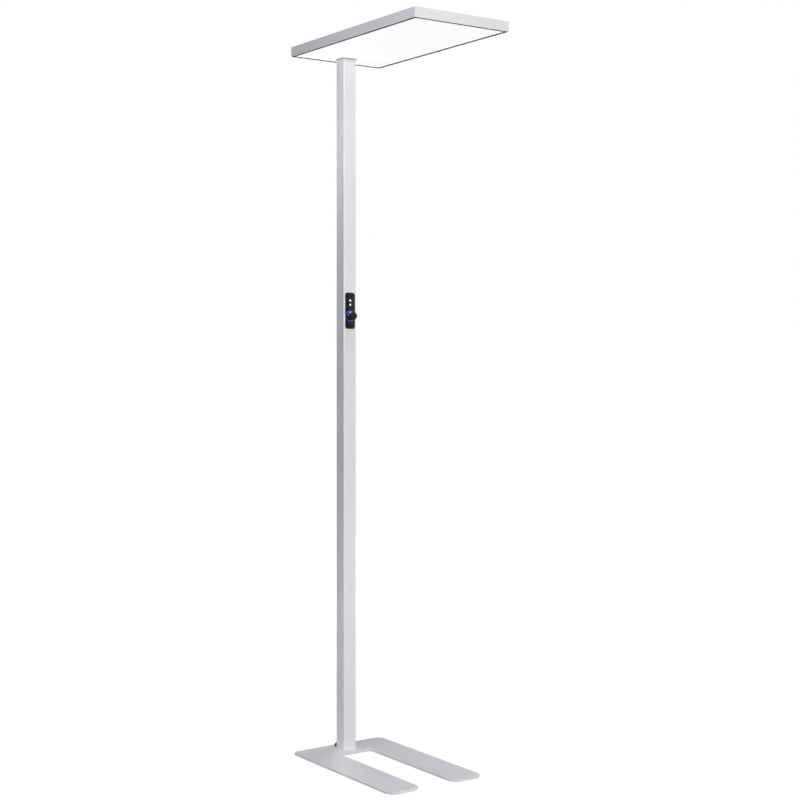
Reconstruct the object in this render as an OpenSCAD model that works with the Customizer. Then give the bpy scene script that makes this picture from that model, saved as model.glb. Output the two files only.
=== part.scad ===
// Office floor lamp: flat light head, square column with a control unit, U-shaped base plate.
// Millimetres, +Z up. The legs and the head reach towards -Y, which is the front.
// The origin is on the floor, in the column's axis.

/* [Overall] */
// Height from the floor to the top of the head
total_h = 1965; // [1700:5:2100]

/* [Base] */
// Width of the base plate
base_w = 297; // [240:1:400]
// Thickness of the steel base plate
base_t = 5; // [5:0.5:10]
// Distance from the column's axis to the plate's rear edge
base_rear = 48.7; // [42:0.1:70]
// Distance from the column's axis to the front ends of the legs
base_front = 436.5; // [300:0.5:520]
// Width of the slot between the legs
slot_w = 100; // [60:1:140]
// Distance from the column's axis to the end of the slot
slot_back = 49.5; // [40:0.5:80]
// Radius of the plate's rear corners
rear_r = 22; // [5:1:40]
// Radius of both corners of each leg's end
leg_r = 27; // [5:1:40]
// Radius in the two inner corners of the slot
slot_r = 6; // [2:0.5:15]
// Thickness of the adhesive pads under the plate
pad_t = 1.2; // [0.8:0.1:3]
// Diameter of the round pads
pad_d = 22; // [14:1:32]
// Distance from the plate's edges to a pad's centre
pad_inset = 25; // [18:1:32]
// Side of the square pad that hides the base screws
cover_pad_w = 46; // [42:1:60]

/* [Column] */
// Width of the square column
col_w = 40; // [38:0.5:46]
// Wall of the column's extrusion
col_wall = 2; // [1.6:0.1:2.6]
// Outer corner radius of the extrusion
col_r = 2.5; // [0.5:0.1:3]
// Clearance on each side of a block or a unit that slides into the column
slide_gap = 0.15; // [0.05:0.05:0.3]
// Height of the foot block in the column's lower end
foot_block_h = 60; // [58:1:90]
// Height of the head block in the column's upper end
head_block_h = 54; // [40:1:80]
// Radius of the lead bore through both blocks
block_bore_r = 8; // [7.5:0.1:8.5]

/* [Cable outlet] */
// Width of the moulded hood at the column's back foot
hood_w = 32; // [28:1:36]
// Depth of the hood behind the column
hood_d = 15; // [10:0.5:24]
// Height of the hood
hood_h = 9.3; // [9:0.1:14]
// Radius of the hood's upper corners
hood_r = 4; // [2:0.5:5]
// Radius of the bore for the mains lead
cord_bore_r = 3.6; // [3:0.1:3.6]

/* [Driver] */
// Length of the driver's case
driver_l = 280; // [200:5:360]
// Width of the driver's case
driver_w = 30; // [24:1:32]
// Depth of the driver's case
driver_d = 21; // [18:1:22]
// Thickness of the driver's mounting ears
ear_t = 3; // [2:0.5:5]
// Free length between the foot block and the driver
driver_rise = 50; // [46:1:90]
// Diameter of the lead to the head
lead_d = 3.2; // [2.4:0.1:3.6]
// Diameter of the mains wires in the column
mains_d = 5; // [4:0.5:6]
// Width of the terminal block
terminal_w = 24; // [20:1:30]
// Height of the terminal block
terminal_h = 22; // [16:1:28]

/* [Control unit] */
// Width of the black front plate
fascia_w = 32.4; // [31:0.1:34]
// Height of the black front plate
fascia_h = 101.6; // [98:0.1:112]
// Corner radius of the front plate
fascia_r = 8; // [4:0.5:12]
// How far the front plate stands out of the column
fascia_t = 1.5; // [1.3:0.1:2.5]
// Height of the front plate's centre above the floor
unit_z = 1233.1; // [900:0.1:1300]
// Width of the plate's rim round the column's opening
rim_w = 2.5; // [2:0.1:3]
// Depth of the housing behind the column's front wall
housing_d = 20; // [18:0.5:21]
// Wall of the housing
housing_wall = 1.6; // [1.2:0.1:2]
// Distance from the column's inner front face to the circuit board
board_back = 8; // [8:0.1:9]
// Thickness of the circuit boards
board_t = 1.6; // [1:0.1:2]

/* [Knob] */
// Distance from the fascia's centre down to the knob's axis
knob_drop = 15.1; // [10:0.1:20]
// Radius of the knob's cap
knob_r = 10.3; // [9:0.1:11.5]
// Radius of the knob's skirt
skirt_r = 12.2; // [11.6:0.1:12.3]
// Distance from the fascia's front to the knob's skirt at rest
skirt_gap = 1.9; // [1.8:0.1:3]
// Height of the skirt
skirt_h = 5.6; // [5:0.1:8]
// Height of the cap above the skirt
cap_h = 12; // [8:0.1:14]
// Chamfer of the knob's edges
knob_chamfer = 0.8; // [0.3:0.1:1.5]
// Travel of the knob when it is pressed
press_travel = 1.5; // [0.5:0.1:1.5]
// Radius of the encoder's shaft
shaft_r = 3; // [2.8:0.1:3.1]
// Radial clearance of the shaft in its bush
shaft_gap = 0.05; // [0.02:0.01:0.1]
// Mean radius of the light ring
ring_r = 13.65; // [13.6:0.05:13.9]
// Width of the light ring
ring_w = 2.5; // [1.8:0.1:2.5]

/* [Sensors] */
// Diameter of the two sensor lenses
lens_d = 5.7; // [4:0.1:6]
// Distance from the fascia's centre up to the presence sensor
motion_rise = 28.3; // [27.5:0.1:32]
// Distance from the fascia's centre up to the daylight sensor
daylight_rise = 16.5; // [15:0.1:17]

/* [Head] */
// Length of the head
head_l = 595; // [500:5:620]
// Width of the head
head_w = 295; // [270:5:340]
// Thickness of the head
head_t = 27; // [25:0.5:34]
// Distance from the column's axis to the head's rear edge
head_rear = 52.8; // [48:0.1:70]
// Wall of the rails
rail_wall = 1.6; // [1.4:0.1:2]
// Width of the rails' bottom lip, seen from below
lip_w = 8; // [7:0.5:10]
// Thickness of the bottom lip
lip_t = 1.2; // [1:0.1:1.6]
// Thickness of the ledge that carries the top panel
ledge_t = 1.5; // [1.2:0.1:2]
// Thickness of the aluminium top panel
panel_t = 1.5; // [1.2:0.1:2]
// Thickness of both diffuser sheets
diffuser_t = 2; // [1.5:0.1:3]
// Thickness of the steel head bracket
bracket_t = 3; // [3:0.5:4]
// Distance from the column's axis to the bracket's front edge
bracket_reach = 120; // [100:5:140]
// Thickness of the tray that carries the LED boards
tray_t = 1.5; // [1:0.1:2]
// Free height between the tray and the bracket, for the leads
lead_room = 4.5; // [4.4:0.1:6]
// Clearance round a sheet inside the rails
sheet_gap = 0.3; // [0.1:0.1:0.6]
// Clearance between the column and the sheets round it
hole_gap = 0.5; // [0.3:0.1:1.5]
// Width of the frame round the column under the diffuser
collar_w = 2.2; // [2:0.1:6]
// Thickness of that frame
collar_t = 1.2; // [1:0.1:5]
// Width of the window for the indirect light
window_w = 230; // [160:5:240]
// Distance from the window to the bracket behind it and to the front rail
window_margin = 30.3; // [16:0.1:60]

/* [Hidden] */
$fn = 48;

silver = [0.80, 0.80, 0.83];
steel = [0.62, 0.63, 0.65];
black = [0.07, 0.07, 0.08];
opal = [0.96, 0.97, 0.98];
green = [0.10, 0.33, 0.20];
white = [0.93, 0.93, 0.93];
blue = [0.25, 0.42, 0.95];

// Standard screws: shank radius, head radius, head height
m2_5 = [1.25, 2.4, 1.6];
m3 = [1.5, 2.75, 1.4];
m4 = [2, 3.8, 2.2];
m5 = [2.5, 4.7, 2.6];
m6 = [3, 6, 3.3];
screw_gap = 0.1;
eps = 0.01;

// Levels from the floor up
plate_top = pad_t + base_t;
foot_block_top = plate_top + foot_block_h;
driver_z = foot_block_top + driver_rise;
driver_top = driver_z + driver_l;
cord_z = plate_top + hood_h / 2;
knob_z = unit_z - knob_drop;

// Levels in the head
head_bottom = total_h - head_t;
lip_top = head_bottom + lip_t;
down_diffuser_top = lip_top + diffuser_t;
ledge_top = total_h - panel_t;
ledge_bottom = ledge_top - ledge_t;
bracket_z = ledge_bottom - bracket_t;
tray_top = bracket_z - lead_room;
tray_z = tray_top - tray_t;
rib_t = 1.2;
rib_z = tray_z - rib_t;
head_lead_z = tray_top + lead_room / 2;
lead_slot_z = tray_top + 0.3;
neck_screw_z = (down_diffuser_top + rib_z) / 2;

// Plan of the column and the head
col_half = col_w / 2;
col_in = col_half - col_wall;
block_w = 2 * (col_in - slide_gap);
front_y = head_rear - head_l;
room_x = head_w / 2 - rail_wall;
room_rear = head_rear - rail_wall;
room_front = front_y + rail_wall;
ledge_mid = (rail_wall + lip_w) / 2;
hole_w = col_w + 2 * hole_gap;

// Control unit, counted from the column's axis towards the front
inner_face = col_in;
fascia_front = col_half + fascia_t;
insert_w = fascia_w - 2 * rim_w;
insert_h = fascia_h - 2 * rim_w;
insert_r = fascia_r - rim_w;
board_front = inner_face - board_back;
housing_back = inner_face - housing_d;
board_gap = 0.2;
board_w = insert_w - 2 * (housing_wall + board_gap);
board_h = insert_h - 2 * (housing_wall + board_gap);
board_r = insert_r - housing_wall - board_gap;
post_inset = 3;
post_x = board_w / 2 - post_inset;
post_z = board_h / 2 - post_inset;
boss_r = 2.4;
board_screw_bite = 5;
plug_x = -7;
plug_w = 8;
plug_h = 8;
plug_above_post = 9.5;
plug_z = unit_z - post_z + plug_above_post;
plug_back = 6;
plug_gap = 0.5;
head_lead_x = 3.5;
head_lead_y = 4.5;
control_lead_d = 3;
control_lead_y = 4.4;

// Encoder and knob, counted the same way
encoder_w = 12.4;
encoder_h = 13.2;
encoder_d = 7.2;
encoder_skin = 1.2;
encoder_floor = 0.6;
encoder_front = board_front + encoder_d;
bush_r = shaft_r + 0.5;
nut_t = 2;
bush_front = fascia_front + nut_t + 1;
flange_r = 4.1;
flange_t = 1.2;
cavity_w = 2 * (flange_r + 0.5);
cavity_front = encoder_front - encoder_skin;
cavity_back = board_front + encoder_floor;
flange_front = cavity_front - shaft_gap;
plunger_t = 1;
plunger_front = flange_front - flange_t;
dome_h = 0.45;
dome_front = cavity_back + dome_h;
plunger_back = dome_front + press_travel + 0.15;
skirt_back = fascia_front + skirt_gap;
skirt_front = skirt_back + skirt_h;
knob_front = skirt_front + cap_h;
hub_back = bush_front + press_travel + 0.8;
knob_hollow_r = skirt_r - 1.8;
shaft_front = knob_front - 3.5;
flat_depth = shaft_r / 2;
groove_t = 1;
ring_gap = 0.05;
post_r = 1;
ring_post_angles = [0, 45, 135, 180, 225, 315];
led_h = 0.7;
led_gap = 0.2;
lens_r = lens_d / 2;
lens_dome = 0.9;
lens_flange_r = lens_r + 0.9;
lens_flange_t = 0.8;

// Places that several pieces share
foot_screw_xy = block_w / 2 - 6.3;
block_screw_xy = block_w / 2 - 5.6;
column_screw_rise = 24;
column_screw_pitch = 20;
column_screw_z = [for (i = [0, 1]) plate_top + column_screw_rise + i * column_screw_pitch];
side_screw_l = col_half - block_bore_r - 2;
side_hole_depth = block_w / 2 - block_bore_r - 1;
base_screw_bite = 15;
block_screw_bite = 13;
drill_spare = 3;
outlet_screw_x = (hood_w / 2 + cord_bore_r) / 2 + 0.8;
ear_l = 8;
driver_screw_z = [driver_z - ear_l / 2, driver_top + ear_l / 2];
bracket_screw_rear = 12;
bracket_screw_mid = 38;
bracket_screw_end = 16;
side_bracket_y = [bracket_screw_rear, -bracket_screw_mid, bracket_screw_end - bracket_reach];
rear_bracket_x = head_w / 3;
panel_screw_end = 30;
panel_pitch = (head_l - 2 * panel_screw_end) / 4;
side_panel_y = [for (i = [0:4]) head_rear - panel_screw_end - i * panel_pitch];
end_panel_x = head_w / 5;
tray_screw_rear = 75;
tray_screw_front = 35;
tray_pitch = (head_l - tray_screw_rear - tray_screw_front) / 3;
tray_screw_y = [for (i = [0:3]) head_rear - tray_screw_rear - i * tray_pitch];
window_front = room_front + window_margin;
window_l = -bracket_reach - window_margin - window_front;
window_y = window_front + window_l / 2;
window_r = 6;
window_rim = 6;
strip_w = 16;
strip_margin = 10;
led_w = 3;
led_plug_w = 10;
led_plug_l = 12;
led_plug_gap = 24;
led_plug_y = col_half + led_plug_gap;
key_leg = 36;
key_t = 6;
key_h = 8;
key_z = rib_z - 0.3 - key_h;
key_screw_r = 2;
key_screw_at = 24;

// ---- shared shapes ----

module rounded_rect(w, d, r) {
  square([w - 2 * r, d], center = true);
  square([w, d - 2 * r], center = true);
  for (sx = [-1, 1], sy = [-1, 1])
    translate([sx * (w / 2 - r), sy * (d / 2 - r)]) circle(r);
}

// Puts what is drawn upwards from z = 0 so that it reaches from depth y0 towards the front
module to_front(y0, z0 = 0) {
  translate([0, -y0, z0]) rotate([90, 0, 0]) children();
}

// The same towards the back, for what is screwed on from behind
module to_back(y0, z0 = 0) {
  translate([0, y0, z0]) rotate([-90, 0, 0]) children();
}

// The head lies above z = 0, the shank below
module pan_screw(m, length) {
  difference() {
    union() {
      cylinder(r = m[1], h = m[2]);
      translate([0, 0, -length]) cylinder(r = m[0], h = length + eps);
    }
    translate([0, 0, m[2] / 2]) cylinder(r = m[0], h = m[2], $fn = 6);
  }
}

// The head's flat top is at z = 0
module flat_screw(m, length) {
  difference() {
    union() {
      translate([0, 0, -m[2]]) cylinder(r1 = m[0], r2 = m[1], h = m[2]);
      translate([0, 0, -length]) cylinder(r = m[0], h = length - m[2] / 2);
    }
    translate([0, 0, -m[2] * 0.6]) cylinder(r = m[0] * 0.75, h = m[2], $fn = 6);
  }
}

module screw_hole(m, depth) {
  translate([0, 0, -depth]) cylinder(r = m[0] + screw_gap, h = depth + 1);
}

module flat_screw_hole(m, depth) {
  screw_hole(m, depth);
  translate([0, 0, -m[2]]) cylinder(r1 = m[0] + screw_gap, r2 = m[1] + screw_gap, h = m[2]);
  cylinder(r = m[1] + screw_gap, h = 1);
}

module wire(points, d) {
  for (i = [1:len(points) - 1]) {
    v = points[i] - points[i - 1];
    translate(points[i - 1])
      rotate([0, acos(v[2] / norm(v)), atan2(v[1], v[0])]) cylinder(d = d, h = norm(v));
    if (i < len(points) - 1) translate(points[i]) sphere(d = d);
  }
}

// ---- base ----

module base_outline() {
  leg_w = (base_w - slot_w) / 2;
  translate([-base_w / 2, -slot_back]) square([base_w, slot_back + base_rear - rear_r]);
  translate([rear_r - base_w / 2, -slot_back])
    square([base_w - 2 * rear_r, slot_back + base_rear]);
  for (s = [-1, 1]) {
    translate([s * (base_w / 2 - rear_r), base_rear - rear_r]) circle(rear_r);
    translate([s * (slot_w + leg_w) / 2, 0]) {
      translate([-leg_w / 2, leg_r - base_front])
        square([leg_w, base_front - leg_r - slot_back + 1]);
      translate([leg_r - leg_w / 2, -base_front]) square([leg_w - 2 * leg_r, leg_r + 1]);
      for (e = [-1, 1]) translate([e * (leg_w / 2 - leg_r), leg_r - base_front]) circle(leg_r);
    }
    slot_corner(s);
  }
}

// The fillet in one inner corner of the slot
module slot_corner(s) {
  difference() {
    translate([s * (slot_w / 2 - slot_r / 2 + 0.5), -slot_back - slot_r / 2 + 0.5])
      square([slot_r + 1, slot_r + 1], center = true);
    translate([s * (slot_w / 2 - slot_r), -slot_back - slot_r]) circle(slot_r);
  }
}

module base_plate() {
  color(silver) difference() {
    translate([0, 0, pad_t]) linear_extrude(base_t) base_outline();
    for (sx = [-1, 1], sy = [-1, 1])
      translate([sx * foot_screw_xy, sy * foot_screw_xy, pad_t])
        rotate([180, 0, 0]) flat_screw_hole(m6, base_t + 1);
  }
}

module floor_pads() {
  leg_x = (base_w + slot_w) / 4;
  rear_x = base_w / 2 - pad_inset;
  rear_y = base_rear - pad_inset;
  toe_y = pad_inset - base_front;
  mid_y = (toe_y - slot_back) / 2;
  color(black) for (s = [-1, 1], p = [[rear_x, rear_y], [leg_x, mid_y], [leg_x, toe_y]])
    translate([s * p[0], p[1], 0]) cylinder(d = pad_d, h = pad_t);
}

module screw_cover_pad() {
  color(black) linear_extrude(pad_t) rounded_rect(cover_pad_w, cover_pad_w, 3);
}

module base_screws() {
  color(steel) for (sx = [-1, 1], sy = [-1, 1])
    translate([sx * foot_screw_xy, sy * foot_screw_xy, pad_t])
      rotate([180, 0, 0]) flat_screw(m6, base_t + base_screw_bite);
}

// The solid block in each end of the column, drawn from z = 0
module column_block(h) {
  difference() {
    linear_extrude(h) rounded_rect(block_w, block_w, max(col_r - 0.5, 0.4));
    translate([0, 0, -1]) cylinder(r = block_bore_r, h = h + 2);
  }
}

module foot_block() {
  color(steel) difference() {
    translate([0, 0, plate_top]) column_block(foot_block_h);
    translate([-block_bore_r * 0.75, 0, plate_top - 1])
      cube([block_bore_r * 1.5, block_w, 1 + hood_h + 3]);
    for (sx = [-1, 1], sy = [-1, 1])
      translate([sx * foot_screw_xy, sy * foot_screw_xy, plate_top])
        rotate([180, 0, 0]) screw_hole(m6, base_screw_bite + drill_spare);
    for (z = column_screw_z) to_back(block_w / 2, z) screw_hole(m5, side_hole_depth);
  }
}

module column_screws() {
  color(steel) for (z = column_screw_z)
    to_back(col_half, z) pan_screw(m5, side_screw_l);
}

// ---- cable outlet ----

module hood_profile() {
  translate([-hood_w / 2, 0]) square([hood_w, hood_h - hood_r]);
  translate([hood_r - hood_w / 2, 0]) square([hood_w - 2 * hood_r, hood_h]);
  for (s = [-1, 1]) translate([s * (hood_w / 2 - hood_r), hood_h - hood_r]) circle(hood_r);
}

module cable_outlet() {
  color(black) difference() {
    translate([0, col_half + hood_d, plate_top]) rotate([90, 0, 0])
      linear_extrude(hood_d) hood_profile();
    to_back(col_half - 1, cord_z) cylinder(r = cord_bore_r, h = hood_d + 2);
    for (s = [-1, 1]) translate([s * outlet_screw_x, 0, 0])
      to_back(col_half + hood_d, cord_z) screw_hole(m2_5, hood_d + 1);
  }
}

module outlet_screws() {
  color(steel) for (s = [-1, 1]) translate([s * outlet_screw_x, 0, 0])
    to_back(col_half + hood_d, cord_z) pan_screw(m2_5, hood_d + col_wall);
}

// ---- column ----

module column() {
  entry_r = cord_bore_r + 1.4;
  color(silver) difference() {
    translate([0, 0, plate_top]) linear_extrude(bracket_z - plate_top) difference() {
      rounded_rect(col_w, col_w, col_r);
      square(2 * col_in, center = true);
    }
    // opening for the control unit
    to_front(col_in - 1, unit_z) linear_extrude(col_wall + 2)
      rounded_rect(insert_w + 2 * slide_gap, insert_h + 2 * slide_gap, insert_r + slide_gap);
    // way in for the mains lead
    translate([-entry_r, 0, plate_top - 1]) cube([2 * entry_r, col_w, 1 + hood_h / 2]);
    to_back(col_in - 1, cord_z) cylinder(r = entry_r, h = col_wall + 2);
    for (s = [-1, 1]) translate([s * outlet_screw_x, 0, 0])
      to_back(col_half, cord_z) screw_hole(m2_5, col_wall + 1);
    for (z = column_screw_z) to_back(col_half, z) screw_hole(m5, col_wall + 1);
    for (z = driver_screw_z) to_back(col_half, z) screw_hole(m3, col_wall + 1);
    // screws of the head block and the slot for the head's lead
    to_back(col_half, neck_screw_z) screw_hole(m4, col_wall + 1);
    to_front(col_half, neck_screw_z) screw_hole(m4, col_wall + 1);
    translate([head_lead_x - lead_d, -col_w, lead_slot_z]) cube([2 * lead_d, col_w, head_t]);
  }
}

module terminal_block() {
  gap = 0.3;
  d = inner_face - block_bore_r - 2 * gap;
  h = terminal_h;
  pitch = 7;
  color(opal) translate([0, -(inner_face - gap - d / 2), foot_block_top]) difference() {
    translate([-terminal_w / 2, -d / 2, 0]) cube([terminal_w, d, h]);
    for (i = [-1:1]) translate([i * pitch, 0, 0]) {
      translate([0, -d / 4, h / 2]) cylinder(r = 1.8, h = h);
      translate([0, d / 2 + 1, h / 3]) rotate([90, 0, 0]) cylinder(r = 1.6, h = d / 2);
    }
  }
}

module terminal_lead() {
  y0 = -(inner_face - 4);
  y1 = 3;
  bend_z = driver_z - 12;
  color(black) wire([
    [0, y0, foot_block_top + terminal_h],
    [0, y0, bend_z],
    [0, y1, bend_z],
    [0, y1, driver_z]
  ], mains_d);
}

module led_driver() {
  y1 = inner_face - slide_gap;
  mid_y = y1 - driver_d / 2;
  case_r = 1.5;
  cap_l = 14;
  seam_w = 0.6;
  seam_d = 0.4;
  color(opal) difference() {
    union() {
      translate([0, mid_y, driver_z]) linear_extrude(driver_l)
        rounded_rect(driver_w, driver_d, case_r);
      translate([-driver_w / 3, y1 - ear_t, driver_z - ear_l])
        cube([driver_w * 2 / 3, ear_t, driver_l + 2 * ear_l]);
    }
    // seams where the end caps close the case
    for (z = [driver_z + cap_l, driver_top - cap_l - seam_w]) difference() {
      translate([-col_w / 2, -col_w / 2, z]) cube([col_w, col_w, seam_w]);
      translate([0, mid_y, z - 1]) linear_extrude(seam_w + 2)
        rounded_rect(driver_w - 2 * seam_d, driver_d - 2 * seam_d, case_r - seam_d);
    }
    for (z = driver_screw_z) to_back(y1, z) screw_hole(m3, ear_t + 1);
  }
}

module driver_screws() {
  color(steel) for (z = driver_screw_z) to_back(col_half, z) pan_screw(m3, col_wall + ear_t);
}

module head_lead() {
  color(opal) wire([
    [head_lead_x, head_lead_y, driver_top],
    [head_lead_x, head_lead_y, head_lead_z],
    [head_lead_x, -led_plug_y, head_lead_z]
  ], lead_d);
}

module control_lead() {
  color(black) wire([
    [plug_x, control_lead_y, driver_top],
    [plug_x, control_lead_y, plug_z - plug_h / 2]
  ], control_lead_d);
}

// ---- control unit ----

module ring_holes(r, h) {
  for (a = ring_post_angles)
    rotate([0, 0, a + 90]) translate([ring_r, 0, 0]) cylinder(r = r, h = h, $fn = 32);
}

module control_fascia() {
  depth = fascia_front - inner_face;
  color(black) difference() {
    union() {
      to_front(col_half, unit_z) linear_extrude(fascia_t) rounded_rect(fascia_w, fascia_h, fascia_r);
      to_front(inner_face, unit_z) linear_extrude(depth - fascia_t + eps)
        rounded_rect(insert_w, insert_h, insert_r);
    }
    // groove of the light ring, with a hole for each of its posts
    to_front(fascia_front - groove_t, knob_z) difference() {
      cylinder(r = ring_r + ring_w / 2, h = groove_t + 1);
      translate([0, 0, -1]) cylinder(r = ring_r - ring_w / 2, h = groove_t + 3);
    }
    to_front(inner_face - 1, knob_z) ring_holes(post_r + screw_gap, depth);
    to_front(inner_face - 1, knob_z) cylinder(r = bush_r + screw_gap, h = depth + 2);
    for (rise = [motion_rise, daylight_rise])
      to_front(inner_face - 1, unit_z + rise) cylinder(r = lens_r + ring_gap, h = depth + 2);
  }
}

module control_housing() {
  in_w = insert_w - 2 * housing_wall;
  in_h = insert_h - 2 * housing_wall;
  in_r = insert_r - housing_wall;
  color(black) difference() {
    union() {
      difference() {
        to_front(housing_back, unit_z) linear_extrude(housing_d) rounded_rect(insert_w, insert_h, insert_r);
        to_front(housing_back + housing_wall, unit_z) linear_extrude(housing_d)
          rounded_rect(in_w, in_h, in_r);
      }
      // posts that carry the board
      for (sx = [-1, 1], sz = [-1, 1]) translate([sx * post_x, 0, 0])
        to_front(housing_back + housing_wall - eps, unit_z + sz * post_z)
          cylinder(r = boss_r, h = board_front - board_t - housing_back - housing_wall + eps);
    }
    for (sx = [-1, 1], sz = [-1, 1]) translate([sx * post_x, 0, 0])
      to_front(board_front - board_t, unit_z + sz * post_z) screw_hole(m2_5, board_screw_bite + 1);
    // way through for the plug
    translate([plug_x, -housing_back - housing_wall / 2, plug_z])
      cube([plug_w + 2 * plug_gap, housing_wall + 2, plug_h + 2 * plug_gap], center = true);
  }
}

// A bent leaf spring on the housing's end, behind the column's wall
module housing_clips() {
  w = 10;
  l = 9;
  h = 3;
  t = 0.4;
  color(steel) for (s = [0, 1]) translate([0, 0, unit_z]) mirror([0, 0, s])
    translate([-w / 2, -inner_face + 0.1, insert_h / 2]) rotate([90, 0, 90]) linear_extrude(w)
      polygon([[0, t], [0, h], [0.5, h], [0.5, 0.9], [l, t], [l, 0], [t, 0]]);
}

module control_board() {
  color(green) difference() {
    to_front(board_front - board_t, unit_z) linear_extrude(board_t)
      rounded_rect(board_w, board_h, board_r);
    for (sx = [-1, 1], sz = [-1, 1]) translate([sx * post_x, 0, 0])
      to_front(board_front, unit_z + sz * post_z) screw_hole(m2_5, board_t + 1);
  }
}

module board_screws() {
  color(steel) for (sx = [-1, 1], sz = [-1, 1]) translate([sx * post_x, 0, 0])
    to_front(board_front, unit_z + sz * post_z) pan_screw(m2_5, board_t + board_screw_bite);
}

module control_plug() {
  color(opal) translate([plug_x - plug_w / 2, -(board_front - board_t), plug_z - plug_h / 2])
    cube([plug_w, board_front - board_t + plug_back, plug_h]);
}

module encoder_body() {
  color(steel) difference() {
    union() {
      to_front(board_front, knob_z) linear_extrude(encoder_front - board_front)
        square([encoder_w, encoder_h], center = true);
      to_front(encoder_front - eps, knob_z) cylinder(r = bush_r, h = bush_front - encoder_front + eps);
    }
    to_front(cavity_back, knob_z) linear_extrude(cavity_front - cavity_back)
      square(cavity_w, center = true);
    to_front(cavity_back, knob_z) cylinder(r = shaft_r + shaft_gap, h = bush_front);
  }
}

module encoder_nut() {
  color(steel) to_front(fascia_front, knob_z) difference() {
    cylinder(r = bush_r + 2.3, h = nut_t, $fn = 6);
    translate([0, 0, -1]) cylinder(r = bush_r + ring_gap, h = nut_t + 2);
  }
}

module encoder_shaft() {
  color(steel) difference() {
    union() {
      to_front(plunger_front, knob_z) cylinder(r = flange_r, h = flange_t);
      to_front(plunger_front, knob_z) cylinder(r = shaft_r, h = shaft_front - plunger_front);
    }
    translate([-2 * shaft_r, -shaft_front - 1, knob_z + shaft_r - flat_depth])
      cube([4 * shaft_r, shaft_front - hub_back + 2, shaft_r]);
  }
}

module switch_plunger() {
  color(opal) union() {
    to_front(plunger_front - shaft_gap - plunger_t, knob_z) linear_extrude(plunger_t)
      square(cavity_w - 0.4, center = true);
    to_front(plunger_back, knob_z)
      cylinder(r = 1, h = plunger_front - shaft_gap - plunger_t / 2 - plunger_back);
  }
}

module switch_dome() {
  color(steel) to_front(cavity_back, knob_z) rotate_extrude()
    polygon([[0, 0], [3, 0], [2.6, 0.2], [1.6, 0.38], [0, dome_h]]);
}

// Turned about its own axis: a skirt, a cap and a hub with a D-shaped bore
module dimmer_knob() {
  c = knob_chamfer;
  rise = hub_back - skirt_back;
  color(black) difference() {
    to_front(skirt_back, knob_z) rotate_extrude() polygon([
      [0, rise], [knob_hollow_r, rise], [knob_hollow_r, 0], [skirt_r, 0],
      [skirt_r, skirt_h - c], [skirt_r - c, skirt_h], [knob_r, skirt_h],
      [knob_r, skirt_h + cap_h - c], [knob_r - c, skirt_h + cap_h], [0, skirt_h + cap_h]
    ]);
    difference() {
      to_front(hub_back - 1, knob_z) cylinder(r = shaft_r + ring_gap, h = shaft_front - hub_back + 1.3);
      translate([-2 * shaft_r, -shaft_front - 2, knob_z + shaft_r - flat_depth + ring_gap])
        cube([4 * shaft_r, shaft_front - hub_back + 2, shaft_r]);
    }
  }
}

module light_ring() {
  r0 = ring_r - ring_w / 2 + ring_gap;
  r1 = ring_r + ring_w / 2 - ring_gap;
  color(blue) union() {
    to_front(fascia_front - groove_t, knob_z) difference() {
      cylinder(r = r1, h = groove_t);
      translate([0, 0, -1]) cylinder(r = r0, h = groove_t + 2);
    }
    to_front(board_front + led_h + led_gap, knob_z)
      ring_holes(post_r, fascia_front - groove_t - board_front - led_h - led_gap + eps);
  }
}

module ring_leds() {
  color(opal) to_front(board_front, knob_z) for (a = ring_post_angles)
    rotate([0, 0, a + 90]) translate([ring_r - post_r, -post_r, 0]) cube([2 * post_r, 2 * post_r, led_h]);
}

module motion_sensor() {
  color(steel) to_front(board_front, unit_z + motion_rise) {
    cylinder(r = 4.6, h = 0.6);
    cylinder(r = 4.1, h = 5);
  }
}

// A lens with a collar behind the fascia and a domed front; it is drawn from its back
module lens(pipe) {
  depth = fascia_front - inner_face;
  pipe_r = 2;
  rotate_extrude() polygon(concat(
    [[0, -pipe], [pipe_r, -pipe], [pipe_r, -lens_flange_t], [lens_flange_r, -lens_flange_t],
     [lens_flange_r, 0], [lens_r, 0]],
    [for (a = [0:15:90]) [lens_r * cos(a), depth + lens_dome * sin(a)]]
  ));
}

module motion_lens() {
  color(white) to_front(inner_face, unit_z + motion_rise) lens(lens_flange_t + eps);
}

module daylight_sensor() {
  color(black) to_front(board_front, unit_z + daylight_rise) translate([-2, -2, 0]) cube([4, 4, 1.1]);
}

module daylight_lens() {
  color(white) to_front(inner_face, unit_z + daylight_rise) lens(board_back - 1.4);
}

// ---- head ----

// Cross-section of a rail: x runs from the outer face inwards, y from the head's underside up
module rail_profile() {
  square([rail_wall, ledge_top - head_bottom]);
  translate([0, ledge_top - head_bottom - eps]) square([rail_wall, panel_t + eps]);
  square([lip_w, lip_t]);
  translate([0, rib_z - head_bottom]) square([lip_w - 1, rib_t]);
  translate([0, ledge_bottom - head_bottom]) square([lip_w, ledge_t]);
}

// A rail of the given length on the +X side, its ends cut at 45 degrees
module rail(length) {
  intersection() {
    translate([0, length / 2, head_bottom]) rotate([90, 0, 0])
      linear_extrude(length) mirror([1, 0]) rail_profile();
    translate([0, 0, head_bottom - 1]) linear_extrude(head_t + 2) polygon([
      [0, -length / 2], [0, length / 2], [-lip_w - 1, length / 2 - lip_w - 1],
      [-lip_w - 1, lip_w + 1 - length / 2]
    ]);
  }
}

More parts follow.
